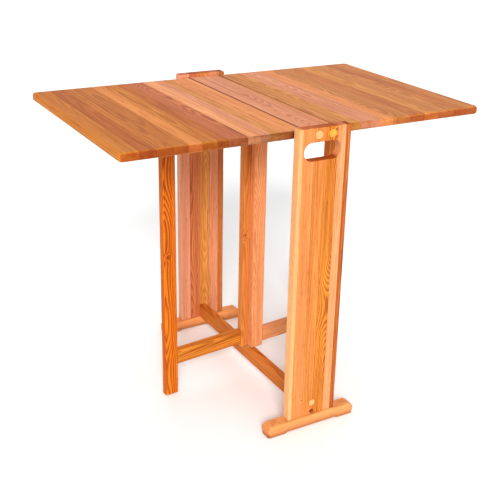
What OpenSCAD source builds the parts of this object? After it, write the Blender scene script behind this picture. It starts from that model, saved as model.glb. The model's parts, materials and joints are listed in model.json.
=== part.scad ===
// Drop leaf table with a double swinging gate.
// Millimetres. X runs along the opened top, Y along the hinge lines, Z is up.
// The origin is on the floor, midway between the two end panels.

/* [Table top] */

// Height of the table surface above the floor
top_height = 762; // [700:1:800]
// Thickness of the centre board and both leaves
top_thick = 20; // [16:0.5:28]
// Width of the fixed centre board, along X
board_width = 85; // [70:1:120]
// Width of one leaf, along X
leaf_width = 427; // [300:1:500]
// Length of one leaf, along Y
leaf_length = 574; // [450:1:700]
// Gap between the centre board and each leaf
leaf_gap = 1.5; // [1:0.1:3]
// Radius of a leaf's two outer corners, seen from above
leaf_corner = 10; // [3:1:30]

/* [End panels] */

// Width of an end panel, along X
panel_width = 136; // [110:1:180]
// Thickness of an end panel, along Y
panel_thick = 25; // [18:0.5:32]
// How far an end panel stands above the table surface
panel_proud = 8; // [0:1:20]
// Radius of an end panel's upper corners
panel_corner = 5; // [1:0.5:15]
// Length of the hand slot
slot_length = 98; // [80:1:115]
// Height of the hand slot
slot_height = 42; // [30:1:50]
// Height of the hand slot's middle above the floor
slot_z = 716; // [690:1:725]
// How far the hand slot's middle lies to the left of the panel's middle
slot_offset = 6; // [0:1:10]

/* [Feet] */

// Length of a foot, along X
foot_length = 251; // [200:1:320]
// Width of a foot, along Y
foot_width = 35; // [30:1:45]
// Height of a foot
foot_height = 30.5; // [24:0.5:40]
// Radius that rounds the upper edge at each end of a foot
foot_end_round = 14; // [4:1:18]
// Radius that rounds the long upper edges of a foot
foot_edge_round = 6; // [2:1:10]
// Length of the pad left at each end of a foot's underside
pad_length = 48; // [30:1:70]
// Depth of the relief between the pads
pad_relief = 4; // [2:0.5:8]

/* [Stretcher] */

// Thickness of the stretcher, along X
stretcher_thick = 20; // [16:0.5:25]
// Height of the stretcher
stretcher_height = 40; // [30:1:60]
// Height of the stretcher's underside above the floor
stretcher_z = 31.5; // [31:0.5:50]

/* [Gate] */

// Angle of the gate from square to the stretcher
gate_angle = 5.5; // [0:0.5:87]
// Thickness of the gate's posts, legs and rails
gate_thick = 19.5; // [16:0.5:22]
// Width of one gate post
post_width = 37; // [30:1:50]
// How far each post reaches past the pivot line
post_lap = 8; // [6:1:15]
// Width of one outer leg
leg_width = 36; // [28:1:45]
// Distance from the pivot line to an outer leg's outer edge
gate_reach = 265; // [200:1:275]
// Height of a gate rail
rail_height = 40; // [30:1:60]
// Height of the lower rails' underside above the floor
low_rail_z = 86; // [76:1:120]
// Height of the upper rails' underside above the floor
high_rail_z = 692; // [600:1:695]
// Radius of the pivot pins
pivot_radius = 4; // [3:0.5:5]
// Running clearance around the pivot pins
pivot_clear = 0.06; // [0.02:0.01:0.1]

/* [Hinges and fixings] */

// Length of one hinge, along Y
hinge_length = 64; // [40:1:70]
// Width of one hinge plate
plate_width = 26; // [18:1:30]
// Thickness of a hinge plate
plate_thick = 1.6; // [1:0.1:2]
// Radius of a hinge knuckle
knuckle_radius = 3.2; // [2.5:0.1:4]
// Radius of a hinge pin
hinge_pin_radius = 1.5; // [1:0.1:2]
// Distance of each hinge's middle from the table's middle
hinge_y = 165; // [120:1:165]
// Distance of each top plug from the middle of the panel
plug_x = 18; // [12:1:30]
// Radius of the domed plugs at the top of a panel
top_plug_radius = 10; // [7:0.5:12]
// Radius of the domed plug over the stretcher
low_plug_radius = 8.5; // [7:0.5:10]
// Radius of the dowels in the gate
dowel_radius = 4; // [3:0.5:5]

/* [Hidden] */

$fn = 64;
eps = 0.01;
underside = top_height - top_thick;
panel_top = top_height + panel_proud;
panel_in = leaf_length / 2 + 2.5;
panel_mid = panel_in + panel_thick / 2;
panel_out = panel_in + panel_thick;
half_board = board_width / 2;
leaf_in = half_board + leaf_gap;
leaf_out = leaf_in + leaf_width;
hinge_x = half_board + leaf_gap / 2;
hinge_z = underside - knuckle_radius - 0.2;
stretcher_top = stretcher_z + stretcher_height;
washer_thick = 2;
post_bottom = stretcher_top + washer_thick + 0.3;
post_top = underside - 0.8;
leg_bottom = 0.5;
leg_top = underside - 0.5;
leg_in = gate_reach - leg_width;
post_out = post_width - post_lap;
pin_depth = 30;
board_pin_depth = 14;
plug_hole_radius = 6.35;
plug_hole_depth = 9.5;
screw_radius = 2.2;
head_radius = 4.5;
head_height = 3;
screw_hole = 2.25;
plug_screw_z = stretcher_z + 33.5;
peg_screw_z = stretcher_z + 8.5;
stretcher_screw_zs = [peg_screw_z, plug_screw_z];
top_screw_z = underside + 12;
foot_screw_x = 40;
post_dowel_zs = [220, 400, 580];
knuckles = 5;
knuckle_gap = 0.4;
knuckle_length = (hinge_length - (knuckles - 1) * knuckle_gap) / knuckles;
plate_screws = [[13, -23], [18, 0], [13, 23]];
stop_length = 50;
stop_width = 18;
stop_height = 15;

// A bar along Y through a point, from y1 to y2
module rod_y(x, z, r, y1, y2) {
    translate([x, y1, z]) rotate([-90, 0, 0]) cylinder(r = r, h = y2 - y1);
}

// What has to go to round off the edge where two faces meet, along +Z
module edge_waste(r, h) {
    difference() {
        translate([-r, -r, 0]) cube([r + 1, r + 1, h]);
        translate([-r, -r, -1]) cylinder(r = r, h = h + 2);
    }
}

// Panels, feet and their fixings are drawn at the back and mirrored to the front
module front() {
    mirror([0, 1, 0]) children();
}

// Leaves and hinges are drawn on the right and mirrored to the left
module left() {
    mirror([1, 0, 0]) children();
}

// Sets gate pieces at the gate's angle; the right half is the left half turned round
module swing(turned = false) {
    rotate([0, 0, gate_angle + (turned ? 180 : 0)]) children();
}

module end_panel() {
    difference() {
        translate([-panel_width / 2, panel_in, foot_height])
            cube([panel_width, panel_thick, panel_top - foot_height]);
        for (side = [-1, 1]) {
            translate([side * panel_width / 2, panel_in - 1, panel_top])
                mirror([side < 0 ? 1 : 0, 0, 0])
                    rotate([90, 0, 0]) mirror([0, 0, 1])
                        edge_waste(panel_corner, panel_thick + 2);
        }
        hand_slot();
        for (x = [-plug_x, plug_x]) {
            panel_screw_hole(x, top_screw_z);
        }
        for (z = stretcher_screw_zs) {
            panel_screw_hole(0, z);
        }
        for (x = [-foot_screw_x, foot_screw_x]) {
            translate([x, panel_mid, foot_height - 1]) cylinder(r = screw_hole, h = 29);
        }
    }
}

module hand_slot() {
    straight = slot_length - slot_height;
    for (side = [-1, 1]) {
        rod_y(side * straight / 2 - slot_offset, slot_z, slot_height / 2,
              panel_in - 1, panel_out + 1);
    }
    translate([-straight / 2 - slot_offset, panel_in - 1, slot_z - slot_height / 2])
        cube([straight, panel_thick + 2, slot_height]);
}

module panel_screw_hole(x, z) {
    rod_y(x, z, screw_hole, panel_in - 1, panel_out + 1);
    rod_y(x, z, plug_hole_radius, panel_out - plug_hole_depth, panel_out + 1);
}

module foot() {
    half = foot_length / 2;
    relief = half - pad_length;
    difference() {
        translate([-half, panel_mid - foot_width / 2, 0])
            cube([foot_length, foot_width, foot_height]);
        for (side = [-1, 1]) {
            translate([side * half, panel_mid - foot_width / 2 - 1, foot_height])
                mirror([side < 0 ? 1 : 0, 0, 0])
                    rotate([90, 0, 0]) mirror([0, 0, 1])
                        edge_waste(foot_end_round, foot_width + 2);
            translate([-half - 1, panel_mid + side * foot_width / 2, foot_height])
                mirror([0, side < 0 ? 1 : 0, 0])
                    rotate([90, 0, 90]) edge_waste(foot_edge_round, foot_length + 2);
            translate([side * foot_screw_x, panel_mid, -1]) {
                cylinder(r = screw_hole, h = foot_height + 2);
                cylinder(r = head_radius + 0.5, h = pad_relief + 4.6);
            }
        }
        translate([0, panel_mid + foot_width / 2 + 1, 0]) rotate([90, 0, 0])
            linear_extrude(foot_width + 2)
                polygon([
                    [-relief, -1], [relief, -1], [relief, 0],
                    [relief - 8, pad_relief], [8 - relief, pad_relief], [-relief, 0]
                ]);
    }
}

module stretcher() {
    color([0.80, 0.47, 0.22])
        difference() {
            translate([-stretcher_thick / 2, -panel_in, stretcher_z])
                cube([stretcher_thick, 2 * panel_in, stretcher_height]);
            translate([0, 0, stretcher_top - pin_depth - 1])
                cylinder(r = pivot_radius + 0.02, h = pin_depth + 2);
            for (z = stretcher_screw_zs, end = [-1, 1]) {
                rod_y(0, z, screw_hole, end * (panel_in - 15) - 16, end * (panel_in - 15) + 16);
            }
        }
}

module centre_board() {
    color([0.87, 0.56, 0.33])
        difference() {
            translate([-half_board, -panel_in, underside])
                cube([board_width, 2 * panel_in, top_thick]);
            translate([0, 0, underside - 1])
                cylinder(r = pivot_radius + 0.02, h = board_pin_depth + 1);
            for (x = [-plug_x, plug_x], end = [-1, 1]) {
                rod_y(x, top_screw_z, screw_hole,
                      end * (panel_in - 15) - 16, end * (panel_in - 15) + 16);
            }
            left() plate_screw_holes(-1);
            plate_screw_holes(-1);
        }
}

// Pilot holes for both hinges on the right side; way is -1 in the board, 1 in the leaf
module plate_screw_holes(way) {
    for (y = [-hinge_y, hinge_y], s = plate_screws) {
        translate([hinge_x + way * s[0], y + s[1], underside - 1])
            cylinder(r = 1.45, h = 13);
    }
}

module panel_screw(x, z, length) {
    head_y = panel_out - plug_hole_depth;
    rod_y(x, z, screw_radius, head_y - length, head_y);
    rod_y(x, z, head_radius, head_y, head_y + head_height);
}

// A turned plug with a domed button head that covers a screw
module panel_plug(x, z, cap_radius, cap_height) {
    ball = (cap_radius * cap_radius + cap_height * cap_height) / (2 * cap_height);
    rod_y(x, z, plug_hole_radius - 0.05, panel_out - plug_hole_depth + head_height + 0.5,
          panel_out + eps);
    intersection() {
        translate([x, panel_out + cap_height - ball, z]) sphere(r = ball, $fn = 72);
        rod_y(x, z, cap_radius + 1, panel_out, panel_out + cap_height + 1);
    }
}

module top_screws() {
    color([0.75, 0.75, 0.77])
        for (x = [-plug_x, plug_x]) {
            panel_screw(x, top_screw_z, 40);
            front() panel_screw(x, top_screw_z, 40);
        }
}

module top_plugs() {
    color([0.93, 0.72, 0.46])
        for (x = [-plug_x, plug_x]) {
            panel_plug(x, top_screw_z, top_plug_radius, 3.4);
            front() panel_plug(x, top_screw_z, top_plug_radius, 3.4);
        }
}

module stretcher_screws() {
    color([0.75, 0.75, 0.77])
        for (z = stretcher_screw_zs) {
            panel_screw(0, z, 40);
            front() panel_screw(0, z, 40);
        }
}

module stretcher_plugs() {
    color([0.93, 0.72, 0.46]) {
        panel_plug(0, plug_screw_z, low_plug_radius, 2.8);
        front() panel_plug(0, plug_screw_z, low_plug_radius, 2.8);
    }
}

// A plain dark peg, flush with the panel, covers each lower stretcher screw
module stretcher_pegs() {
    peg_start = panel_out - plug_hole_depth + head_height + 0.5;
    color([0.50, 0.27, 0.12]) {
        rod_y(0, peg_screw_z, plug_hole_radius - 0.05, peg_start, panel_out);
        front() rod_y(0, peg_screw_z, plug_hole_radius - 0.05, peg_start, panel_out);
    }
}

module foot_screws() {
    color([0.75, 0.75, 0.77])
        for (x = [-foot_screw_x, foot_screw_x], end = [-1, 1]) {
            translate([x, end * panel_mid, pad_relief + 0.6]) {
                cylinder(r = head_radius, h = head_height);
                cylinder(r = screw_radius, h = 50);
            }
        }
}

module lower_pivot_pin() {
    color([0.75, 0.75, 0.77])
        translate([0, 0, stretcher_top - pin_depth + 0.5])
            cylinder(r = pivot_radius, h = 2 * pin_depth);
}

module upper_pivot_pin() {
    color([0.75, 0.75, 0.77])
        translate([0, 0, post_top - pin_depth + 1.5])
            cylinder(r = pivot_radius, h = pin_depth + board_pin_depth - 2);
}

module pivot_washer() {
    color([0.86, 0.72, 0.38])
        difference() {
            translate([0, 0, stretcher_top]) cylinder(r = 9.8, h = washer_thick);
            translate([0, 0, stretcher_top - 1])
                cylinder(r = pivot_radius + 0.2, h = washer_thick + 2);
        }
}

// One butt hinge plate with its knuckles, on the right hinge line.
// way is -1 for the plate on the board and 1 for the plate on the leaf.
module hinge_plate(y, way, first) {
    difference() {
        union() {
            translate([hinge_x + (way < 0 ? -plate_width : 0.5), y - hinge_length / 2,
                       underside - plate_thick])
                cube([plate_width - 0.5, hinge_length, plate_thick]);
            for (i = [first:2:knuckles - 1]) {
                knuckle(y, i, way);
            }
        }
        for (i = [1 - first:2:knuckles - 1]) {
            rod_y(hinge_x, hinge_z, knuckle_radius + 0.35,
                  knuckle_start(y, i) - knuckle_gap,
                  knuckle_start(y, i) + knuckle_length + knuckle_gap);
        }
        rod_y(hinge_x, hinge_z, hinge_pin_radius + 0.05,
              y - hinge_length / 2 - 1, y + hinge_length / 2 + 1);
        for (s = plate_screws) {
            translate([hinge_x + way * s[0], y + s[1], underside - plate_thick - eps]) {
                cylinder(r = 1.6, h = plate_thick + 1);
                cylinder(r1 = 3.2, r2 = 1.6, h = plate_thick);
            }
        }
    }
}

function knuckle_start(y, i) = y - hinge_length / 2 + i * (knuckle_length + knuckle_gap);

module knuckle(y, i, way) {
    start = knuckle_start(y, i);
    rod_y(hinge_x, hinge_z, knuckle_radius, start, start + knuckle_length);
    translate([hinge_x + (way < 0 ? -4 : 0), start, underside - plate_thick])
        cube([4, knuckle_length, plate_thick - 0.2]);
}

module fixed_plates() {
    for (y = [-hinge_y, hinge_y]) {
        hinge_plate(y, -1, 0);
    }
}

module leaf_plates() {
    for (y = [-hinge_y, hinge_y]) {
        hinge_plate(y, 1, 1);
    }
}

module hinge_pins() {
    for (y = [-hinge_y, hinge_y]) {
        rod_y(hinge_x, hinge_z, hinge_pin_radius, y - hinge_length / 2, y + hinge_length / 2);
    }
}

module plate_screw_set(way) {
    for (y = [-hinge_y, hinge_y], s = plate_screws) {
        translate([hinge_x + way * s[0], y + s[1], underside - plate_thick]) {
            cylinder(r1 = 2.9, r2 = 1.4, h = 1.5);
            cylinder(r = 1.4, h = 13);
        }
    }
}

module leaf_board() {
    difference() {
        translate([leaf_in, -leaf_length / 2, underside])
            cube([leaf_width, leaf_length, top_thick]);
        for (end = [-1, 1]) {
            translate([leaf_out, end * leaf_length / 2, underside - 1])
                mirror([0, end < 0 ? 1 : 0, 0])
                    edge_waste(leaf_corner, top_thick + 2);
        }
        plate_screw_holes(1);
        for (x = [gate_reach - 35, gate_reach - 5]) {
            translate([x, -stop_width / 2 - gate_thick - 0.5, underside - 1])
                cylinder(r = 1.45, h = 11);
        }
    }
}

// A block under the leaf that stops the leg when the gate is square
module leg_stop() {
    difference() {
        translate([gate_reach - 20 - stop_length / 2, -gate_thick - 0.5 - stop_width,
                   underside - stop_height])
            cube([stop_length, stop_width, stop_height]);
        for (x = [gate_reach - 35, gate_reach - 5]) {
            translate([x, -stop_width / 2 - gate_thick - 0.5, underside - stop_height - 1]) {
                cylinder(r = 1.6, h = stop_height + 2);
                cylinder(r = 3.4, h = 5);
            }
        }
    }
}

module stop_screw_set() {
    for (x = [gate_reach - 35, gate_reach - 5]) {
        translate([x, -stop_width / 2 - gate_thick - 0.5, underside - stop_height + 1.9]) {
            cylinder(r = 3, h = 2.1);
            cylinder(r = 1.4, h = 21);
        }
    }
}

// The left half of the gate stands on the far side of the pivot line
module gate_bar(x, z1, z2, width) {
    translate([x, 0, z1]) cube([width, gate_thick, z2 - z1]);
}

module rail_dowel_holes(x, reach) {
    for (z = [low_rail_z, high_rail_z], up = [0.25, 0.75]) {
        translate([x, gate_thick / 2, z + up * rail_height])
            rotate([0, 90, 0]) cylinder(r = dowel_radius + 0.05, h = 2 * reach, center = true);
    }
}

module gate_post() {
    difference() {
        gate_bar(-post_out, post_bottom, post_top, post_width);
        translate([0, 0, post_bottom - 1])
            cylinder(r = pivot_radius + pivot_clear, h = pin_depth + 1);
        translate([0, 0, post_top - pin_depth])
            cylinder(r = pivot_radius + pivot_clear, h = pin_depth + 1);
        rail_dowel_holes(-post_out, 18.5);
        for (z = post_dowel_zs) {
            rod_y(0, z, dowel_radius + 0.05, -1, 15.5);
        }
    }
}

module gate_leg() {
    difference() {
        gate_bar(-gate_reach, leg_bottom, leg_top, leg_width);
        rail_dowel_holes(-leg_in, 18.5);
    }
}

module gate_rail(z) {
    difference() {
        gate_bar(-leg_in, z, z + rail_height, leg_in - post_out);
        rail_dowel_holes(-leg_in, 18.5);
        rail_dowel_holes(-post_out, 18.5);
    }
}

module rail_dowel_set() {
    for (x = [-leg_in, -post_out], z = [low_rail_z, high_rail_z], up = [0.25, 0.75]) {
        translate([x, gate_thick / 2, z + up * rail_height])
            rotate([0, 90, 0]) cylinder(r = dowel_radius, h = 36, center = true);
    }
}

module rail_dowels() {
    color([0.90, 0.74, 0.52]) {
        swing() rail_dowel_set();
        swing(true) rail_dowel_set();
    }
}

module post_dowels() {
    color([0.90, 0.74, 0.52])
        swing()
            for (z = post_dowel_zs) {
                rod_y(0, z, dowel_radius, -15, 15);
            }
}

module front_end_panel() { color([0.93, 0.62, 0.36]) front() end_panel(); }
module back_end_panel() { color([0.86, 0.53, 0.31]) end_panel(); }
module front_foot() { color([0.91, 0.58, 0.34]) front() foot(); }
module back_foot() { color([0.85, 0.52, 0.30]) foot(); }
module left_fixed_plates() { color([0.80, 0.64, 0.32]) left() fixed_plates(); }
module right_fixed_plates() { color([0.80, 0.64, 0.32]) fixed_plates(); }
module left_hinge_pins() { color([0.72, 0.57, 0.28]) left() hinge_pins(); }
module right_hinge_pins() { color([0.72, 0.57, 0.28]) hinge_pins(); }

module fixed_plate_screws() {
    color([0.80, 0.64, 0.32]) {
        left() plate_screw_set(-1);
        plate_screw_set(-1);
    }
}

// The left leaf is the right leaf turned half round, so the two leg stops face opposite ways
module half_turn() {
    rotate([0, 0, 180]) children();
}

module left_leaf() { color([0.88, 0.58, 0.34]) half_turn() leaf_board(); }
module right_leaf() { color([0.89, 0.59, 0.35]) leaf_board(); }
module left_leaf_plates() { color([0.80, 0.64, 0.32]) left() leaf_plates(); }
module right_leaf_plates() { color([0.80, 0.64, 0.32]) leaf_plates(); }
module left_leg_stop() { color([0.82, 0.50, 0.26]) half_turn() leg_stop(); }
module right_leg_stop() { color([0.82, 0.50, 0.26]) leg_stop(); }

module left_leaf_screws() {
    color([0.80, 0.64, 0.32]) {
        left() plate_screw_set(1);
        half_turn() stop_screw_set();
    }
}

module right_leaf_screws() {
    color([0.80, 0.64, 0.32]) {
        plate_screw_set(1);
        stop_screw_set();
    }
}

module left_post() { color([0.86, 0.52, 0.28]) swing() gate_post(); }
module right_post() { color([0.83, 0.49, 0.25]) swing(true) gate_post(); }
module left_leg() { color([0.86, 0.52, 0.26]) swing() gate_leg(); }
module right_leg() { color([0.86, 0.52, 0.26]) swing(true) gate_leg(); }
module left_low_rail() { color([0.84, 0.50, 0.24]) swing() gate_rail(low_rail_z); }
module right_low_rail() { color([0.84, 0.50, 0.24]) swing(true) gate_rail(low_rail_z); }
module left_high_rail() { color([0.84, 0.50, 0.24]) swing() gate_rail(high_rail_z); }
module right_high_rail() { color([0.84, 0.50, 0.24]) swing(true) gate_rail(high_rail_z); }

front_end_panel();
back_end_panel();
front_foot();
back_foot();
stretcher();
centre_board();
top_screws();
top_plugs();
stretcher_screws();
stretcher_plugs();
stretcher_pegs();
foot_screws();
lower_pivot_pin();
upper_pivot_pin();
pivot_washer();
left_fixed_plates();
left_hinge_pins();
right_fixed_plates();
right_hinge_pins();
fixed_plate_screws();
left_leaf();
left_leaf_plates();
left_leaf_screws();
left_leg_stop();
right_leaf();
right_leaf_plates();
right_leaf_screws();
right_leg_stop();
left_post();
left_leg();
left_low_rail();
left_high_rail();
right_post();
right_leg();
right_low_rail();
right_high_rail();
rail_dowels();
post_dowels();
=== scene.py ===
import json
import math

import bmesh
import bpy
from mathutils import Matrix, Vector


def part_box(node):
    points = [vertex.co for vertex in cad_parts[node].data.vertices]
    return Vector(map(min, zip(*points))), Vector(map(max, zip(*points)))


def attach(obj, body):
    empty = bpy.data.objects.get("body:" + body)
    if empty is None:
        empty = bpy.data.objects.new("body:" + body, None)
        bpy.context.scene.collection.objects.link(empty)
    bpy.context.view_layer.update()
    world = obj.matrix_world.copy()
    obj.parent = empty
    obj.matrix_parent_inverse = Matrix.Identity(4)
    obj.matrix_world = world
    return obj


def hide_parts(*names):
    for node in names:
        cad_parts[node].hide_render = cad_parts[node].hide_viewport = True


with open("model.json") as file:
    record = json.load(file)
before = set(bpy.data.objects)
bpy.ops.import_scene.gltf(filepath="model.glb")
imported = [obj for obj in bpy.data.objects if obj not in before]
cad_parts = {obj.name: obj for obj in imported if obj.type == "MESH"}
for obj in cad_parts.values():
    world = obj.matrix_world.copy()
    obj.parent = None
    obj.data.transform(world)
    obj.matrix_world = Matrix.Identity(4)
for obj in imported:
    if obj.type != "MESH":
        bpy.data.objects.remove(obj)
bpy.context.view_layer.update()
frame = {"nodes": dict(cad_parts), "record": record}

mm = 0.001
near = 0.01 * mm    # closer than this is the same place
longRun = 0.3       # metres; an edge longer than this runs the length of a board
print("frame loaded:", len(frame["nodes"]), "nodes")


# node helpers

def addNode(tree, kind, **settings):
    node = tree.nodes.new(kind)
    for name, value in settings.items():
        setattr(node, name, value)
    return node


def feed(tree, socket, source):
    # a socket takes a link or a plain value
    if isinstance(source, bpy.types.NodeSocket):
        tree.links.new(source, socket)
    else:
        socket.default_value = source


def calc(tree, operation, *sources, clamp=False):
    node = addNode(tree, "ShaderNodeMath", operation=operation, use_clamp=clamp)
    for socket, source in zip(node.inputs, sources):
        feed(tree, socket, source)
    return node.outputs[0]


def vectorCalc(tree, operation, *sources):
    node = addNode(tree, "ShaderNodeVectorMath", operation=operation)
    for socket, source in zip(node.inputs, sources):
        feed(tree, socket, source)
    return node.outputs["Value" if operation == "LENGTH" else "Vector"]


def fade(tree, source, span, ends=(0.0, 1.0)):
    # a smooth step from one end to the other across the span
    node = addNode(tree, "ShaderNodeMapRange", interpolation_type="SMOOTHSTEP")
    feed(tree, node.inputs["Value"], source)
    for name, value in zip(("From Min", "From Max", "To Min", "To Max"), span + ends):
        node.inputs[name].default_value = value
    return node.outputs["Result"]


def noise(tree, vector, layer):
    node = addNode(tree, "ShaderNodeTexNoise")
    feed(tree, node.inputs["Vector"], vector)
    node.inputs["Scale"].default_value = 1.0
    node.inputs["Detail"].default_value = layer["detail"]
    node.inputs["Roughness"].default_value = layer["roughness"]
    return node.outputs


def mixColours(tree, mode, share, first, second):
    node = addNode(tree, "ShaderNodeMix", data_type="RGBA", blend_type=mode)
    for place, source in ((0, share), (6, first), (7, second)):    # 6 and 7 are the two colours
        feed(tree, node.inputs[place], source)
    return node.outputs[2]


def partsOf(tree, vector):
    node = addNode(tree, "ShaderNodeSeparateXYZ")
    feed(tree, node.inputs[0], vector)
    return node.outputs


def turnBack(tree, vector, turnDeg):
    # undoes a piece's turn about Z
    node = addNode(tree, "ShaderNodeMapping", vector_type="TEXTURE")
    node.inputs["Rotation"].default_value = (0.0, 0.0, math.radians(turnDeg))
    feed(tree, node.inputs[0], vector)
    return node.outputs[0]


nodeGap = (220, 200)


def layOut(tree):
    # columns by distance from the last node, so the tree reads from left to right
    column = {}

    def place(node, level):
        if column.get(node.name, -1) < level:
            column[node.name] = level
            for socket in node.inputs:
                for link in socket.links:
                    place(link.from_node, level + 1)

    for node in tree.nodes:
        if not any(socket.is_linked for socket in node.outputs):
            place(node, 0)
    rows = {}
    for node in tree.nodes:
        level = column[node.name]
        node.location = (-nodeGap[0] * level, -nodeGap[1] * rows.get(level, 0))
        rows[level] = rows.get(level, 0) + 1


def shade(red, green, blue):
    # a colour as a paint chart gives it, turned to linear light
    chart = [c / 255 for c in (red, green, blue)]
    light = [c / 12.92 if c <= 0.04045 else ((c + 0.055) / 1.055) ** 2.4 for c in chart]
    return tuple(light) + (1.0,)


# timber: one node group that every board shares

timberLook = {  # scales are per metre: across, through and along the grain
    "logStep": (41.0, 67.0, 23.0),       # how far apart two seeds lie
    "rings": 300.0,                      # per metre
    "warp": {"scale": (16.0, 16.0, 3.2), "detail": 1.5, "roughness": 0.45},
    "warpReach": (0.009, 0.009, 0.0),    # metres
    "drift": {"scale": 2.1, "detail": 1.0, "roughness": 0.4},
    "driftStep": 7.31,                   # between two seeds
    "driftReach": 0.15,                  # metres; how far the heart drifts along the log
    "driftAside": 0.35,                  # share of that drift that goes sideways
    "heartAside": (0.05, -0.025),        # metres; range over the seeds, and where it starts
    "heartBehind": (0.03, 0.018),
    "fibre": {"scale": (560.0, 560.0, 9.0), "detail": 2.0, "roughness": 0.6},
    "pore": {"scale": (640.0, 640.0, 42.0), "detail": 1.0, "roughness": 0.5},
    "blotch": {"scale": (20.0, 20.0, 2.4), "detail": 2.5, "roughness": 0.55},
    "streak": {"scale": (95.0, 95.0, 2.2), "detail": 3.0, "roughness": 0.62},
    "streakShare": 1.20,
    "fibreShare": 1.05,
    "blotchShare": 0.50,
    "floorShare": 0.30,                  # how deep the plain wood between rings is
    "ringJitter": 0.35,
    "ringRise": (0.18, 0.82),            # part of a ring over which late wood comes
    "ringFall": (0.86, 1.0),             # and goes
    "poreSpan": (0.60, 0.72),
    "poreShare": 0.55,
    "poreTint": (0.55, 0.38, 0.28, 1.0),
    "endShare": 0.38,
    "endTint": (0.86, 0.68, 0.70, 1.0),  # end grain drinks more oil
    "roughness": 0.52,
    "fibreRoughness": 0.20,
    "endRoughness": 0.15,
    "poreDepth": -0.8,
    "lateDepth": -0.2,
}


def makeTimberGroup(look):
    group = bpy.data.node_groups.new("timberFigure", "ShaderNodeTree")
    face = group.interface
    face.new_socket("Point", in_out="INPUT", socket_type="NodeSocketVector")
    for name, value in (("Seed", 0.0), ("Figure", 0.5), ("Lean", 0.1), ("Rings", look["rings"]),
                        ("End", 0.0)):
        socket = face.new_socket(name, in_out="INPUT", socket_type="NodeSocketFloat")
        socket.default_value = value
    for name in ("Pale", "Deep"):
        face.new_socket(name, in_out="INPUT", socket_type="NodeSocketColor")
    face.new_socket("Color", in_out="OUTPUT", socket_type="NodeSocketColor")
    for name in ("Roughness", "Height"):
        face.new_socket(name, in_out="OUTPUT", socket_type="NodeSocketFloat")
    given = addNode(group, "NodeGroupInput").outputs
    result = addNode(group, "NodeGroupOutput").inputs

    # each seed gives a stave its own place in the log
    dice = addNode(group, "ShaderNodeTexWhiteNoise", noise_dimensions="1D")
    feed(group, dice.inputs["W"], given["Seed"])
    throws = addNode(group, "ShaderNodeSeparateColor")
    feed(group, throws.inputs[0], dice.outputs["Color"])
    away = vectorCalc(group, "MULTIPLY", dice.outputs["Color"], look["logStep"])

    def layerNoise(name):
        spot = vectorCalc(group, "MULTIPLY_ADD", given["Point"], look[name]["scale"], away)
        return noise(group, spot, look[name])

    # slow warp of the rings
    centred = vectorCalc(group, "SUBTRACT", layerNoise("warp")["Color"], (0.5, 0.5, 0.5))
    bent = vectorCalc(group, "MULTIPLY_ADD", centred, look["warpReach"], given["Point"])
    parts = partsOf(group, bent)

    # the heart of the log lies beside and behind the face, and drifts along the grain
    along = partsOf(group, given["Point"])[2]
    drift = addNode(group, "ShaderNodeTexNoise", noise_dimensions="1D")
    start = calc(group, "MULTIPLY", given["Seed"], look["driftStep"])
    feed(group, drift.inputs["W"],
         calc(group, "MULTIPLY_ADD", along, look["drift"]["scale"], start))
    drift.inputs["Scale"].default_value = 1.0
    drift.inputs["Detail"].default_value = look["drift"]["detail"]
    drift.inputs["Roughness"].default_value = look["drift"]["roughness"]
    reach = calc(group, "MULTIPLY", given["Lean"], look["driftReach"])
    backDrift = calc(group, "MULTIPLY", calc(group, "SUBTRACT", drift.outputs["Fac"], 0.5), reach)
    sideDrift = calc(group, "MULTIPLY", backDrift, look["driftAside"])
    side = calc(group, "MULTIPLY_ADD", throws.outputs[0], *look["heartAside"])
    back = calc(group, "MULTIPLY_ADD", throws.outputs[1], *look["heartBehind"])
    pair = addNode(group, "ShaderNodeCombineXYZ")
    feed(group, pair.inputs[0], calc(group, "ADD", sideDrift, calc(group, "ADD", parts[0], side)))
    feed(group, pair.inputs[1], calc(group, "ADD", backDrift, calc(group, "ADD", parts[1], back)))
    radius = vectorCalc(group, "LENGTH", pair.outputs[0])

    # growth rings: pale early wood darkens slowly and ends sharply
    fibre = layerNoise("fibre")["Fac"]
    count = calc(group, "MULTIPLY", radius, given["Rings"])
    turn = calc(group, "FRACT", calc(group, "MULTIPLY_ADD", fibre, look["ringJitter"], count))
    late = calc(group, "MULTIPLY", fade(group, turn, look["ringRise"]),
                fade(group, turn, look["ringFall"], (1.0, 0.0)))

    # streaks, fibres and blotches move the plain wood about its own depth
    spread = look["streakShare"] + look["fibreShare"] + look["blotchShare"]
    depth = look["floorShare"] - 0.5 * spread
    depth = calc(group, "MULTIPLY_ADD", layerNoise("streak")["Fac"], look["streakShare"], depth)
    depth = calc(group, "MULTIPLY_ADD", fibre, look["fibreShare"], depth)
    depth = calc(group, "MULTIPLY_ADD", layerNoise("blotch")["Fac"], look["blotchShare"], depth)
    depth = calc(group, "MULTIPLY_ADD", late, given["Figure"], depth)
    depth = calc(group, "MULTIPLY_ADD", given["End"], look["endShare"], depth, clamp=True)
    pore = fade(group, layerNoise("pore")["Fac"], look["poreSpan"])
    colour = mixColours(group, "MIX", depth, given["Pale"], given["Deep"])
    colour = mixColours(group, "MULTIPLY", given["End"], colour, look["endTint"])
    poreShare = calc(group, "MULTIPLY", pore, look["poreShare"])
    feed(group, result["Color"], mixColours(group, "MULTIPLY", poreShare, colour, look["poreTint"]))

    rough = calc(group, "MULTIPLY_ADD", fibre, look["fibreRoughness"], look["roughness"])
    feed(group, result["Roughness"],
         calc(group, "MULTIPLY_ADD", given["End"], look["endRoughness"], rough))
    grooves = calc(group, "MULTIPLY_ADD", pore, look["poreDepth"], fibre)
    feed(group, result["Height"], calc(group, "MULTIPLY_ADD", late, look["lateDepth"], grooves))
    layOut(group)
    return group


timberGroup = makeTimberGroup(timberLook)

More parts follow.
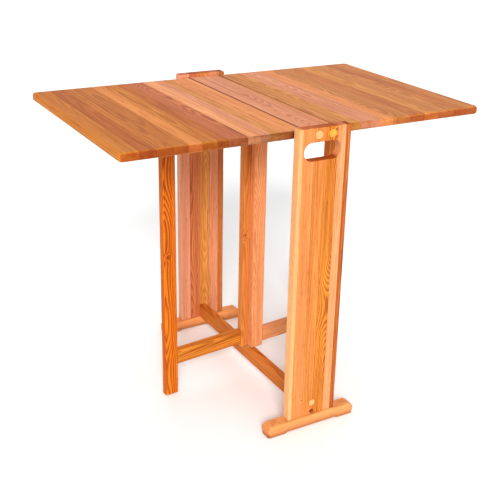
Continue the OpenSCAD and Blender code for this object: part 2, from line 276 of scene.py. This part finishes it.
knotLook = {
    "colour": shade(120, 52, 22),
    "stretch": (1.0, 1.0, 0.7),
    "heart": (0.35, 1.25),      # in knot radii, from dark to plain
    "swell": (0.0, 5.0),        # in knot radii, over which the rings bend
    "lift": 2.4,
}


def makeKnotGroup(look):
    # a small round knot: a dark heart, and a swelling that bends the rings about it
    group = bpy.data.node_groups.new("knotMark", "ShaderNodeTree")
    face = group.interface
    for name in ("Point", "Centre"):
        face.new_socket(name, in_out="INPUT", socket_type="NodeSocketVector")
    face.new_socket("Radius", in_out="INPUT", socket_type="NodeSocketFloat")
    for name in ("Heart", "Swell"):
        face.new_socket(name, in_out="OUTPUT", socket_type="NodeSocketFloat")
    given = addNode(group, "NodeGroupInput").outputs
    result = addNode(group, "NodeGroupOutput").inputs
    offset = vectorCalc(group, "SUBTRACT", given["Point"], given["Centre"])
    length = vectorCalc(group, "LENGTH", vectorCalc(group, "MULTIPLY", offset, look["stretch"]))
    share = calc(group, "DIVIDE", length, given["Radius"])
    feed(group, result["Heart"], fade(group, share, look["heart"], (1.0, 0.0)))
    swell = fade(group, share, look["swell"], (1.0, 0.0))
    feed(group, result["Swell"], calc(group, "MULTIPLY", swell, given["Radius"]))
    layOut(group)
    return group


knotGroup = makeKnotGroup(knotLook)

tones = {  # early wood, late wood
    "cream": (shade(236, 178, 118), shade(212, 142, 84)),
    "peach": (shade(234, 160, 106), shade(192, 110, 60)),
    "blush": (shade(228, 159, 123), shade(190, 112, 77)),
    "apricot": (shade(226, 148, 86), shade(188, 102, 46)),
    "orange": (shade(214, 126, 44), shade(160, 72, 14)),
    "amber": (shade(226, 142, 46), shade(150, 70, 8)),
    "golden": (shade(216, 145, 72), shade(168, 92, 32)),
    "honey": (shade(244, 166, 62), shade(216, 126, 34)),
    "tan": (shade(207, 134, 68), shade(155, 83, 34)),
    "copper": (shade(200, 121, 58), shade(148, 74, 28)),
    "rose": (shade(222, 149, 107), shade(176, 99, 63)),
    "brick": (shade(206, 120, 68), shade(144, 64, 30)),
    "russet": (shade(196, 106, 42), shade(132, 52, 10)),
    "flame": (shade(234, 128, 16), shade(150, 58, 2)),
    "bark": (shade(140, 66, 22), shade(92, 38, 8)),
    "sand": (shade(223, 143, 80), shade(186, 98, 42)),
    "ginger": (shade(219, 139, 66), shade(168, 84, 30)),
    "ochre": (shade(234, 146, 52), shade(158, 77, 14)),
    "wheat": (shade(240, 164, 98), shade(204, 122, 66)),
    "caramel": (shade(209, 129, 42), shade(159, 79, 13)),
    "chestnut": (shade(194, 107, 34), shade(141, 63, 11)),
    "toffee": (shade(202, 121, 40), shade(150, 73, 15)),
    "corn": (shade(221, 140, 68), shade(183, 95, 34)),
    "redwood": (shade(216, 129, 77), shade(155, 73, 37)),
}

grainAxes = {  # across, through, along
    "x": (1, 2, 0),
    "y": (0, 2, 1),
    "z": (0, 1, 2),
    "gateX": (2, 1, 0),
}

timberFinish = {
    "glueHalf": 0.45 * mm,
    "glueDepth": 0.35,
    # the glue lines' own colour, also used for the painted shade beside a hinged gap
    "glueAndGapShadeColour": shade(120, 66, 34),
    "endFacing": (0.6, 0.9),    # how squarely a face looks along the grain to be end grain
    "staveSeeds": (32, 57.0),   # most staves, and the seeds they are spread over
    "bump": 0.22,
    "bumpDepth": 0.6 * mm,
    "specular": 0.16,
}


def rampOf(tree, source, stops):
    node = addNode(tree, "ShaderNodeValToRGB")
    ramp = node.color_ramp
    ramp.interpolation = "CONSTANT"
    ramp.elements[0].position = 0.0
    ramp.elements[0].color = stops[0][1]
    ramp.elements.remove(ramp.elements[1])
    for position, colour in stops[1:]:
        ramp.elements.new(position).color = colour
    feed(tree, node.inputs[0], source)
    return node.outputs


def feedOneStave(timber, stave, seed):
    tone, figure, lean = stave[1:]
    for name, value in zip(("Pale", "Deep", "Seed", "Figure", "Lean"),
                           tones[tone] + (seed, figure, lean)):
        timber.inputs[name].default_value = value


def feedStaves(tree, timber, staves, share, starts, seed):
    # ramps across the board hold each stave's own tones, seed, figure, middle and lean
    most, seedReach = timberFinish["staveSeeds"]
    middles = [(s + e) / 2 for s, e in zip(starts, starts[1:] + [1.0])]
    for slot, name in enumerate(("Pale", "Deep")):
        stops = [(s, tones[stave[1]][slot]) for s, stave in zip(starts, staves)]
        feed(tree, timber.inputs[name], rampOf(tree, share, stops)["Color"])
    stops = [(s, ((i + 1) / most, stave[2], middle, stave[3]))
             for i, (s, middle, stave) in enumerate(zip(starts, middles, staves))]
    ramp = rampOf(tree, share, stops)
    traits = addNode(tree, "ShaderNodeSeparateColor")
    feed(tree, traits.inputs[0], ramp["Color"])
    feed(tree, timber.inputs["Seed"],
         calc(tree, "MULTIPLY_ADD", traits.outputs[0], seedReach, seed))
    feed(tree, timber.inputs["Figure"], traits.outputs[1])
    feed(tree, timber.inputs["Lean"], ramp["Alpha"])
    return traits.outputs[2]


def glueAndGapShadeMask(tree, share, starts, gapShadeStrips, low, high):
    # faint glue lines where staves meet, and a strip of painted shade beside a hinged gap, where
    # the gap's shadow falls
    width = high - low
    lines = [(start, timberFinish["glueHalf"] / width, timberFinish["glueDepth"])
             for start in starts[1:]]
    # strips beside a hinged gap are painted shade, at full depth
    lines += [(((a + b) / 2 * mm - low) / width, (b - a) / 2 * mm / width, 1.0) for a, b in gapShadeStrips]
    margin = 0.0001
    stops = [(0.0, (0.0, 0.0, 0.0, 1.0))]
    for at, half, deep in sorted(lines):
        stops.append((max(at - half, margin), (deep, deep, deep, 1.0)))
        stops.append((min(at + half, 1.0 - margin), (0.0, 0.0, 0.0, 1.0)))
    return rampOf(tree, share, stops)["Color"]


def timberMaterial(name, grain, staves, centre, spread=None, gapShadeStrips=(), knots=(),
                   turnDeg=0.0, seed=0.0, endShare=1.0):
    # staves are (upper limit in mm, tone, figure, lean), and one stave needs no limit;
    # spread is the board's lowest and highest point across, in metres; the seam strips
    # (from, to) are painted shade beside a hinged gap, and knots are (x, y, z, radius), both in mm
    material = bpy.data.materials.new(name)
    material.use_nodes = True
    tree = material.node_tree
    shader = tree.nodes["Principled BSDF"]
    place = addNode(tree, "ShaderNodeTexCoord").outputs
    spot = turnBack(tree, place["Object"], turnDeg)
    parts = partsOf(tree, spot)
    across, through, along = grainAxes[grain]
    timber = addNode(tree, "ShaderNodeGroup", node_tree=timberGroup)
    colour = timber.outputs["Color"]
    middle = centre[across]
    if len(staves) == 1:
        feedOneStave(timber, staves[0], seed)
    else:
        low, high = spread
        scale = addNode(tree, "ShaderNodeMapRange")
        feed(tree, scale.inputs["Value"], parts[across])
        scale.inputs["From Min"].default_value = low
        scale.inputs["From Max"].default_value = high
        share = scale.outputs[0]
        starts = [0.0] + [(stave[0] * mm - low) / (high - low) for stave in staves[:-1]]
        middle = calc(tree, "MULTIPLY_ADD", feedStaves(tree, timber, staves, share, starts, seed),
                      high - low, low)
        mask = glueAndGapShadeMask(tree, share, starts, gapShadeStrips, low, high)
        # glue lines are the wood's own; strips beside a hinged gap are painted shade
        colour = mixColours(tree, "MULTIPLY", mask, colour, timberFinish["glueAndGapShadeColour"])

    # knots lift the rings about them and darken the colour
    behind = calc(tree, "SUBTRACT", parts[through], centre[through])
    for x, y, z, radius in knots:
        knot = addNode(tree, "ShaderNodeGroup", node_tree=knotGroup)
        feed(tree, knot.inputs["Point"], spot)
        knot.inputs["Centre"].default_value = (x * mm, y * mm, z * mm)
        knot.inputs["Radius"].default_value = radius * mm
        behind = calc(tree, "MULTIPLY_ADD", knot.outputs["Swell"], knotLook["lift"], behind)
        colour = mixColours(tree, "MIX", knot.outputs["Heart"], colour, knotLook["colour"])
    point = addNode(tree, "ShaderNodeCombineXYZ")
    sources = (calc(tree, "SUBTRACT", parts[across], middle), behind, parts[along])
    for socket, source in zip(point.inputs, sources):
        feed(tree, socket, source)
    feed(tree, timber.inputs["Point"], point.outputs[0])

    # end grain is on the faces that look along the timber
    facing = partsOf(tree, turnBack(tree, place["Normal"], turnDeg))[along]
    feed(tree, timber.inputs["End"], fade(tree, calc(tree, "ABSOLUTE", facing),
                                          timberFinish["endFacing"], (0.0, endShare)))
    feed(tree, shader.inputs["Base Color"], colour)
    feed(tree, shader.inputs["Roughness"], timber.outputs["Roughness"])
    bump = addNode(tree, "ShaderNodeBump")
    bump.inputs["Strength"].default_value = timberFinish["bump"]
    bump.inputs["Distance"].default_value = timberFinish["bumpDepth"]
    feed(tree, bump.inputs["Height"], timber.outputs["Height"])
    feed(tree, shader.inputs["Normal"], bump.outputs[0])
    shader.inputs["Specular IOR Level"].default_value = timberFinish["specular"]
    layOut(tree)
    return material


print("timber ready:", len(tones), "tones")


# boards

def finishPiece(bm, name, body, material, nodes, turnDeg=0.0):
    if turnDeg:
        bmesh.ops.rotate(bm, verts=bm.verts, cent=(0, 0, 0),
                         matrix=Matrix.Rotation(math.radians(turnDeg), 3, "Z"))
    bmesh.ops.recalc_face_normals(bm, faces=bm.faces)
    for face in bm.faces:
        face.smooth = True
    mesh = bpy.data.meshes.new(name)
    bm.to_mesh(mesh)
    bm.free()
    mesh.materials.append(material)
    piece = bpy.data.objects.new(name, mesh)
    bpy.context.scene.collection.objects.link(piece)
    normals = piece.modifiers.new("cleanShading", "WEIGHTED_NORMAL")
    normals.keep_sharp = True
    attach(piece, body)
    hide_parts(*nodes)


def startBlock(low, high):
    bm = bmesh.new()
    bmesh.ops.create_cube(bm, size=1.0)
    bmesh.ops.scale(bm, vec=[b - a for a, b in zip(low, high)], verts=bm.verts)
    bmesh.ops.translate(bm, vec=[(a + b) / 2 for a, b in zip(low, high)], verts=bm.verts)
    return bm


def edgesWhere(bm, test):
    return [edge for edge in bm.edges if test(edge.verts[0].co, edge.verts[1].co)]


def sharpEdges(bm, degrees=40.0, test=None):
    limit = math.radians(degrees)
    return [edge for edge in bm.edges
            if len(edge.link_faces) == 2 and edge.calc_face_angle(0.0) > limit
            and (test is None or test(edge.verts[0].co, edge.verts[1].co))]


def roundEdges(bm, edges, radius, segments):
    bmesh.ops.bevel(bm, geom=edges, offset=radius, offset_type="OFFSET", affect="EDGES",
                    segments=segments, profile=0.5, material=-1)


def runsAlongY(a, b):
    return abs(a.y - b.y) > longRun


leafSpec = {
    "corner": 10 * mm,
    "cornerSteps": 6,
    "outerRound": 6 * mm,
    "outerSteps": 4,
    "innerRound": 1.6 * mm,
    "innerSteps": 2,
    "seam": 2.0,          # mm of painted shade beside the hinged gap
    "seeds": {"left": 3.1, "right": 9.7},
    "staves": {
        "left": [
            (-428, "caramel", 0.30, 0.1), (-393, "chestnut", 0.30, 0.1),
            (-356, "toffee", 0.40, 0.3), (-320, "toffee", 0.30, 0.1), (-290, "corn", 0.20, 0.1),
            (-253, "caramel", 0.40, 0.2), (-229, "chestnut", 0.30, 0.1),
            (-182, "brick", 0.50, 0.5), (-150, "peach", 0.25, 0.1), (-125, "rose", 0.25, 0.1),
            (-102, "golden", 0.30, 0.1), (0, "apricot", 0.30, 0.2),
        ],
        "right": [
            (72, "tan", 0.40, 0.1), (110, "golden", 0.35, 0.2), (170, "rose", 0.40, 0.4),
            (205, "apricot", 0.30, 0.1), (255, "tan", 0.50, 0.6), (300, "copper", 0.35, 0.2),
            (340, "golden", 0.35, 0.1), (390, "tan", 0.40, 0.3), (430, "copper", 0.35, 0.1),
            (480, "tan", 0.35, 0.1),
        ],
    },
}


def makeLeaf(side):
    spec = leafSpec
    low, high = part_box(side + "_leaf")
    outer, inner = (low.x, high.x) if side == "left" else (high.x, low.x)

    def onInner(a, b):
        return max(abs(a.x - inner), abs(b.x - inner)) < near

    bm = startBlock(low, high)
    corners = edgesWhere(bm, lambda a, b: max(abs(a.x - outer), abs(b.x - outer)) < near
                         and abs(a.z - b.z) > near)
    roundEdges(bm, corners, spec["corner"], spec["cornerSteps"])
    rim = sharpEdges(bm, test=lambda a, b: not onInner(a, b) and abs(a.z - b.z) < near)
    roundEdges(bm, rim, spec["outerRound"], spec["outerSteps"])
    hinge = sharpEdges(bm, degrees=60.0, test=lambda a, b: onInner(a, b) and runsAlongY(a, b))
    roundEdges(bm, hinge, spec["innerRound"], spec["innerSteps"])
    edge = inner / mm
    # a strip of painted shade along the edge beside the hinged gap
    seam = (edge - spec["seam"], edge) if side == "left" else (edge, edge + spec["seam"])
    material = timberMaterial(side + "LeafStaves", "y", spec["staves"][side], (low + high) / 2,
                              spread=(low.x, high.x), gapShadeStrips=[seam], seed=spec["seeds"][side])
    finishPiece(bm, side + "LeafBoard", side + "_leaf", material, [side + "_leaf"])


for side in ("left", "right"):
    makeLeaf(side)
print("leaves made")

boardSpec = {
    "edgeRound": 1.6 * mm,
    "edgeSteps": 2,
    # strips of painted shade beside the two hinged gaps, in mm
    "gapShadeStrips": [(-42.5, -40.5), (40.5, 42.5)],
    "staves": [(-14, "rose", 0.30, 0.1), (34, "rose", 0.45, 0.5), (50, "apricot", 0.30, 0.1)],
    "seed": 5.3,
}


def makeCentreBoard():
    spec = boardSpec
    low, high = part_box("centre_board")
    bm = startBlock(low, high)
    roundEdges(bm, edgesWhere(bm, runsAlongY), spec["edgeRound"], spec["edgeSteps"])
    material = timberMaterial("centreBoardStaves", "y", spec["staves"], (low + high) / 2,
                              spread=(low.x, high.x), gapShadeStrips=spec["gapShadeStrips"], seed=spec["seed"])
    finishPiece(bm, "centreBoard", "frame", material, ["centre_board"])


makeCentreBoard()
print("centre board made")

panelSpec = {
    "topCorner": 5 * mm,
    "topSteps": 4,
    "edgeRound": 2.2 * mm,
    "edgeSteps": 3,
    "slotLength": 98 * mm,
    "slotHeight": 42 * mm,
    "slotX": -6 * mm,
    "slotZ": 716 * mm,
    "slotSteps": 36,
    "seeds": {"front": 47.2, "back": 7.9},
    "knots": {"front": [(-31, -314.5, 79.5, 1.6)], "back": [(-13, 289.5, 560, 2.6)]},
    "staves": {
        "front": [(-59, "cream", 0.20, 0.1), (-29, "sand", 0.20, 0.1), (2, "ginger", 0.22, 0.1),
                  (32, "ochre", 0.62, 0.9), (54, "peach", 0.25, 0.1), (68, "russet", 0.40, 0.1)],
        "back": [(-40, "blush", 0.15, 0.1), (-9, "redwood", 0.45, 0.3), (22, "golden", 0.36, 0.4),
                 (50, "rose", 0.30, 0.2), (68, "copper", 0.40, 0.1)],
    },
}


def addSlotRing(bm, y):
    # a circle pulled apart into a slot; half a step of turn keeps its points off the middle
    spec = panelSpec
    radius = spec["slotHeight"] / 2
    slot = bmesh.ops.create_circle(bm, cap_ends=False, radius=radius,
                                   segments=spec["slotSteps"])["verts"]
    halfStep = math.pi / spec["slotSteps"]
    for turn, axis in ((halfStep, "Z"), (math.pi / 2, "X")):
        bmesh.ops.rotate(bm, verts=slot, cent=(0, 0, 0), matrix=Matrix.Rotation(turn, 3, axis))
    reach = spec["slotLength"] / 2 - radius
    for way in (-1, 1):
        half = [v for v in slot if v.co.x * way > 0]
        bmesh.ops.translate(bm, verts=half, vec=(way * reach, 0, 0))
    bmesh.ops.translate(bm, verts=slot, vec=(spec["slotX"], y, spec["slotZ"]))


def makePanel(end):
    spec = panelSpec
    node = end + "_end_panel"
    low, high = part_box(node)
    bm = bmesh.new()
    corners = [bm.verts.new((x, low.y, z)) for x, z in
               ((low.x, low.z), (high.x, low.z), (high.x, high.z), (low.x, high.z))]
    bm.faces.new(corners)
    bmesh.ops.bevel(bm, geom=corners[2:], offset=spec["topCorner"], offset_type="OFFSET",
                    affect="VERTICES", segments=spec["topSteps"], profile=0.5, material=-1)
    bmesh.ops.delete(bm, geom=bm.faces[:], context="FACES_ONLY")
    addSlotRing(bm, low.y)
    bmesh.ops.triangle_fill(bm, use_beauty=True, use_dissolve=False, edges=bm.edges[:])
    swept = bmesh.ops.extrude_face_region(bm, geom=bm.faces[:])["geom"]
    moved = [item for item in swept if isinstance(item, bmesh.types.BMVert)]
    bmesh.ops.translate(bm, verts=moved, vec=(0, high.y - low.y, 0))
    bmesh.ops.recalc_face_normals(bm, faces=bm.faces)
    roundEdges(bm, sharpEdges(bm, degrees=50.0), spec["edgeRound"], spec["edgeSteps"])
    material = timberMaterial(end + "PanelStaves", "z", spec["staves"][end], (low + high) / 2,
                              spread=(low.x, high.x), knots=spec["knots"][end],
                              seed=spec["seeds"][end])
    finishPiece(bm, end + "EndPanel", "frame", material, [node])


for end in ("front", "back"):
    makePanel(end)
print("panels made")

footSpec = {
    "endRound": 14 * mm,
    "endSteps": 6,
    "cornerRound": 7 * mm,
    "longRound": 6 * mm,
    "longSteps": 4,
    "pad": 48 * mm,
    "slope": 8 * mm,
    "relief": 4 * mm,
    "timber": (None, "wheat", 0.40, 0.2),
    "endShare": 0.2,
    "seeds": {"front": 11.0, "back": 14.0},
}


def makeFoot(end):
    spec = footSpec
    low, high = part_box(end + "_foot")
    bm = startBlock(low, high)
    inner = high.x - spec["pad"]
    for x in (-inner, spec["slope"] - inner, inner - spec["slope"], inner):
        bmesh.ops.bisect_plane(bm, geom=bm.verts[:] + bm.edges[:] + bm.faces[:],
                               plane_co=(x, 0, 0), plane_no=(1, 0, 0))
    lifted = [v for v in bm.verts if v.co.z < near and abs(v.co.x) < inner - spec["slope"] / 2]
    bmesh.ops.translate(bm, verts=lifted, vec=(0, 0, spec["relief"]))

    def atEnd(a, b):
        return min(abs(a.x), abs(b.x)) > high.x - near

    topEnds = edgesWhere(bm, lambda a, b: atEnd(a, b) and min(a.z, b.z) > high.z - near)
    roundEdges(bm, topEnds, spec["endRound"], spec["endSteps"])
    uprights = sharpEdges(bm, degrees=60.0,
                          test=lambda a, b: atEnd(a, b) and abs(a.z - b.z) > 2 * near)
    roundEdges(bm, uprights, spec["cornerRound"], spec["longSteps"])
    halfway = low.z + 2 * spec["relief"]
    tops = sharpEdges(bm, degrees=30.0, test=lambda a, b: min(a.z, b.z) > halfway
                      and abs(a.y - b.y) < near < abs(a.x - b.x))
    roundEdges(bm, tops, spec["longRound"], spec["longSteps"])
    material = timberMaterial(end + "FootTimber", "x", [spec["timber"]], (low + high) / 2,
                              seed=spec["seeds"][end], endShare=spec["endShare"])
    finishPiece(bm, end + "Foot", "frame", material, [end + "_foot"])


for end in ("front", "back"):
    makeFoot(end)
print("feet made")

stretcherSpec = {
    "edgeRound": 2.2 * mm,
    "edgeSteps": 3,
    "timber": (None, "orange", 0.45, 0.2),
    "seed": 21.0,
}


def makeStretcher():
    spec = stretcherSpec
    low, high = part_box("stretcher")
    bm = startBlock(low, high)
    roundEdges(bm, edgesWhere(bm, runsAlongY), spec["edgeRound"], spec["edgeSteps"])
    material = timberMaterial("stretcherTimber", "y", [spec["timber"]], (low + high) / 2,
                              seed=spec["seed"])
    finishPiece(bm, "stretcherRail", "frame", material, ["stretcher"])


makeStretcher()
print("stretcher made")

gateSpec = {
    "turnDeg": 5.5,
    "thick": 19.5 * mm,
    "reach": 265 * mm,
    "legWidth": 36 * mm,
    "postOut": 29 * mm,
    "postLap": 8 * mm,
    "edgeRound": 2.4 * mm,
    "edgeSteps": 3,
    "timbers": {
        "left_post": (None, "ginger", 0.45, 0.2), "right_post": (None, "peach", 0.50, 0.45),
        "left_leg": (None, "flame", 0.66, 0.55), "right_leg": (None, "orange", 0.45, 0.2),
        "left_low_rail": (None, "amber", 0.50, 0.2), "right_low_rail": (None, "peach", 0.45, 0.2),
        "left_high_rail": (None, "orange", 0.45, 0.2),
        "right_high_rail": (None, "orange", 0.45, 0.2),
    },
    "knots": {"left_post": [(-21, 0, 404, 3.4)], "left_leg": [(-256, 0, 396, 2.4)]},
    "firstSeed": 93.9,
    "seedStep": 2.7,
}


def makeGatePiece(node, x1, x2, grain):
    # x1 and x2 are along the unturned left half; the right half is the same turned about
    spec = gateSpec
    low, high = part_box(node)
    bm = startBlock((x1, 0, low.z), (x2, spec["thick"], high.z))
    roundEdges(bm, sharpEdges(bm), spec["edgeRound"], spec["edgeSteps"])
    way, halfTurn = (-1, 180) if node.startswith("right") else (1, 0)
    centre = (way * (x1 + x2) / 2, way * spec["thick"] / 2, (low.z + high.z) / 2)
    seed = spec["firstSeed"] + spec["seedStep"] * list(spec["timbers"]).index(node)
    material = timberMaterial(node + "Timber", grain, [spec["timbers"][node]], centre,
                              knots=spec["knots"].get(node, ()), turnDeg=spec["turnDeg"], seed=seed)
    first, *others = node.split("_")
    name = first + "".join(word.capitalize() for word in others) + "Piece"
    finishPiece(bm, name, "gate", material, [node],
                turnDeg=spec["turnDeg"] + halfTurn)


legIn = gateSpec["reach"] - gateSpec["legWidth"]
for side in ("left", "right"):
    makeGatePiece(side + "_post", -gateSpec["postOut"], gateSpec["postLap"], "z")
    makeGatePiece(side + "_leg", -gateSpec["reach"], -legIn, "z")
    makeGatePiece(side + "_low_rail", -legIn, -gateSpec["postOut"], "gateX")
    makeGatePiece(side + "_high_rail", -legIn, -gateSpec["postOut"], "gateX")
print("gate made")

# plugs: turned buttons with a soft shoulder

plugSpec = {  # places are (x, z) in mm, on both panels
    "top": {
        "node": "top_plugs", "slot": "plug_wood",
        "radius": 10 * mm, "height": 3.4 * mm, "places": [(-18, 754), (18, 754)],
        "timber": "topPlugTimber", "grain": "z", "spread": (-20 * mm, 20 * mm), "seed": 44.0,
        "staves": [(0, "cream", 0.2, 0.1), (20, "honey", 0.1, 0.1)],
    },
    "low": {
        "node": "stretcher_plugs", "slot": "plug_wood",
        "radius": 8.5 * mm, "height": 2.8 * mm, "places": [(0, 65)],
        "timber": "lowPlugTimber", "grain": "x", "seed": 45.0,
        "staves": [(None, "cream", 0.2, 0.1)],
    },
    "peg": {
        "node": "stretcher_pegs", "slot": "peg_wood",
        "radius": 6.3 * mm, "height": 0.4 * mm, "places": [(0, 40)],
        "timber": "pegTimber", "grain": "x", "seed": 51.0,
        "staves": [(None, "bark", 0.5, 0.1)],
    },
}
plugShape = {
    "sunk": 0.4 * mm,         # how far the back lies inside the panel
    "shoulder": 0.2,          # share of the height that is straight
    "sideCurve": 0.8,
    "topCurve": 1.1,
    "rimSteps": 7,
    "roundSteps": 40,
}


def placePlug(bm, geom, x, y, z, way):
    verts = [item for item in geom if isinstance(item, bmesh.types.BMVert)]
    bmesh.ops.rotate(bm, verts=verts, cent=(0, 0, 0),
                     matrix=Matrix.Rotation(math.radians(-90 * way), 3, "X"))
    bmesh.ops.translate(bm, verts=verts, vec=(x, y, z))


def smallTimber(name, spec):
    return timberMaterial(name, spec["grain"], spec["staves"], (0, 0, 0),
                          spread=spec.get("spread"), seed=spec["seed"])


def makePlugs(key):
    spec, shape = plugSpec[key], plugShape
    radius, height, steps = spec["radius"], spec["height"], shape["rimSteps"]
    bm = bmesh.new()
    outline = [(0.0, -shape["sunk"]), (radius, -shape["sunk"])]
    for i in range(steps):
        angle = math.radians(90 * i / steps)
        rise = shape["shoulder"] + (1 - shape["shoulder"]) * math.sin(angle) ** shape["topCurve"]
        outline.append((radius * math.cos(angle) ** shape["sideCurve"], height * rise))
    outline.append((0.0, height))
    chain = [bm.verts.new((out, 0, up)) for out, up in outline]
    edges = [bm.edges.new(pair) for pair in zip(chain, chain[1:])]
    bmesh.ops.spin(bm, geom=edges + chain, cent=(0, 0, 0), axis=(0, 0, 1), dvec=(0, 0, 0),
                   angle=2 * math.pi, steps=shape["roundSteps"], use_merge=True,
                   use_duplicate=False)
    bmesh.ops.remove_doubles(bm, verts=bm.verts, dist=near / 10)
    plug = bm.verts[:] + bm.edges[:] + bm.faces[:]
    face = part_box("back_end_panel")[1].y
    places = [(x * mm, way * face, z * mm, way) for x, z in spec["places"] for way in (-1, 1)]
    for place in places[1:]:
        placePlug(bm, bmesh.ops.duplicate(bm, geom=plug)["geom"], *place)
    placePlug(bm, plug, *places[0])
    material = smallTimber(spec["timber"], spec)
    finishPiece(bm, key + "Plugs", "frame", material, [spec["node"]])


for key in plugSpec:
    makePlugs(key)
print("plugs made")

# materials for the pieces that stay as they came

metalSpec = {
    "hingeBrass": {"colour": (0.78, 0.57, 0.25, 1.0), "roughness": 0.34},
    "brassScrews": {"colour": (0.82, 0.62, 0.30, 1.0), "roughness": 0.30},
    "zincSteel": {"colour": (0.66, 0.66, 0.68, 1.0), "roughness": 0.38},
}
keptTimbers = {
    "dowelTimber": {"grain": "y", "staves": [(None, "cream", 0.3, 0.1)], "seed": 53.0},
    "legStopTimber": {"grain": "x", "staves": [(None, "orange", 0.45, 0.2)], "seed": 57.0},
}
metalLook = {
    "brushing": {"scale": (300.0, 2600.0, 300.0), "detail": 3.0, "roughness": 0.6},
    "smudge": {"scale": (60.0, 60.0, 60.0), "detail": 2.0, "roughness": 0.5},
    "smudgeShare": 0.25,
    "smudgeStart": -0.12,
    "darkShare": 0.82,
    "bump": 0.08,
    "bumpDepth": 0.2 * mm,
}


def metalMaterial(name):
    look = metalLook
    colour, roughness = metalSpec[name]["colour"], metalSpec[name]["roughness"]
    material = bpy.data.materials.new(name)
    material.use_nodes = True
    tree = material.node_tree
    shader = tree.nodes["Principled BSDF"]
    spot = addNode(tree, "ShaderNodeTexCoord").outputs["Object"]
    brushing, smudge = [
        noise(tree, vectorCalc(tree, "MULTIPLY", spot, look[key]["scale"]), look[key])["Fac"]
        for key in ("brushing", "smudge")]
    feed(tree, shader.inputs["Roughness"],
         calc(tree, "MULTIPLY_ADD", smudge, look["smudgeShare"], roughness + look["smudgeStart"]))
    dark = tuple(c * look["darkShare"] for c in colour[:3]) + (1.0,)
    feed(tree, shader.inputs["Base Color"], mixColours(tree, "MIX", brushing, dark, colour))
    bump = addNode(tree, "ShaderNodeBump")
    bump.inputs["Strength"].default_value = look["bump"]
    bump.inputs["Distance"].default_value = look["bumpDepth"]
    feed(tree, bump.inputs["Height"], brushing)
    feed(tree, shader.inputs["Normal"], bump.outputs[0])
    shader.inputs["Metallic"].default_value = 1.0
    layOut(tree)
    return material


slotMaterials = {
    "hinge_brass": metalMaterial("hingeBrass"),
    "screw_brass": metalMaterial("brassScrews"),
    "screw_steel": metalMaterial("zincSteel"),
    "dowel_wood": smallTimber("dowelTimber", keptTimbers["dowelTimber"]),
}
stopTimber = smallTimber("legStopTimber", keptTimbers["legStopTimber"])
slotOf = {part["node"]: part["material_slot"] for part in frame["record"]["subparts"]}
for name, node in frame["nodes"].items():
    finish = stopTimber if name.endswith("_leg_stop") else slotMaterials.get(slotOf[name])
    if finish is not None:
        node.data.materials.clear()
        node.data.materials.append(finish)
print("materials set")

# floor, light and camera

studio = {
    "floorSize": 120.0,
    "floorDrop": 0.4 * mm,
    "floorColour": (0.96, 0.965, 0.965, 1.0),
    "floorRoughness": 0.9,
    "floorSpecular": 0.1,
    "worldColour": (1.0, 1.0, 1.0, 1.0),
    "worldStrength": 0.72,
    "frontSun": {"from": (-1.2, -2.4, 1.45), "strength": 2.9, "softDeg": 18.0},
    "backSun": {"from": (1.4, 2.2, 2.2), "strength": 0.5, "softDeg": 50.0},
}


def makeFloor():
    bm = bmesh.new()
    bmesh.ops.create_grid(bm, x_segments=1, y_segments=1, size=studio["floorSize"])
    bmesh.ops.translate(bm, verts=bm.verts, vec=(0, 0, -studio["floorDrop"]))
    mesh = bpy.data.meshes.new("floor")
    bm.to_mesh(mesh)
    bm.free()
    floor = bpy.data.objects.new("floor", mesh)
    bpy.context.scene.collection.objects.link(floor)
    material = bpy.data.materials.new("paleFloor")
    material.use_nodes = True
    shader = material.node_tree.nodes["Principled BSDF"]
    shader.inputs["Base Color"].default_value = studio["floorColour"]
    shader.inputs["Roughness"].default_value = studio["floorRoughness"]
    shader.inputs["Specular IOR Level"].default_value = studio["floorSpecular"]
    mesh.materials.append(material)


def makeSun(name):
    spec = studio[name]
    lamp = bpy.data.lights.new(name, "SUN")
    lamp.energy = spec["strength"]
    lamp.angle = math.radians(spec["softDeg"])
    holder = bpy.data.objects.new(name, lamp)
    holder.location = spec["from"]
    holder.rotation_euler = (-Vector(spec["from"])).to_track_quat("-Z", "Y").to_euler()
    bpy.context.scene.collection.objects.link(holder)


def makeWorld():
    world = bpy.data.worlds.new("paleRoom")
    world.use_nodes = True
    sky = world.node_tree.nodes["Background"]
    sky.inputs["Color"].default_value = studio["worldColour"]
    sky.inputs["Strength"].default_value = studio["worldStrength"]
    bpy.context.scene.world = world


cameraSpec = {
    "place": (-1.08853, -1.88326, 1.28309),
    "turnDeg": 31.295,
    "downDeg": 23.01,
    "rollDeg": 1.765,
    "lens": 64.46,
    "sensor": 36.0,
    "shift": -0.04,
    "nearest": 0.05,
}


def makeCamera():
    lens = bpy.data.cameras.new("viewCamera")
    lens.sensor_width = cameraSpec["sensor"]
    lens.lens = cameraSpec["lens"]
    lens.shift_x = cameraSpec["shift"]
    lens.clip_start = cameraSpec["nearest"]
    holder = bpy.data.objects.new("viewCamera", lens)
    turn = Matrix.Rotation(math.radians(-cameraSpec["turnDeg"]), 4, "Z")
    tip = Matrix.Rotation(math.radians(90 - cameraSpec["downDeg"]), 4, "X")
    roll = Matrix.Rotation(math.radians(cameraSpec["rollDeg"]), 4, "Z")
    holder.matrix_world = Matrix.Translation(cameraSpec["place"]) @ turn @ tip @ roll
    bpy.context.scene.collection.objects.link(holder)
    bpy.context.scene.camera = holder


makeFloor()
makeSun("frontSun")
makeSun("backSun")
makeWorld()
makeCamera()
bpy.context.scene.view_settings.view_transform = "Standard"
print("stage set")
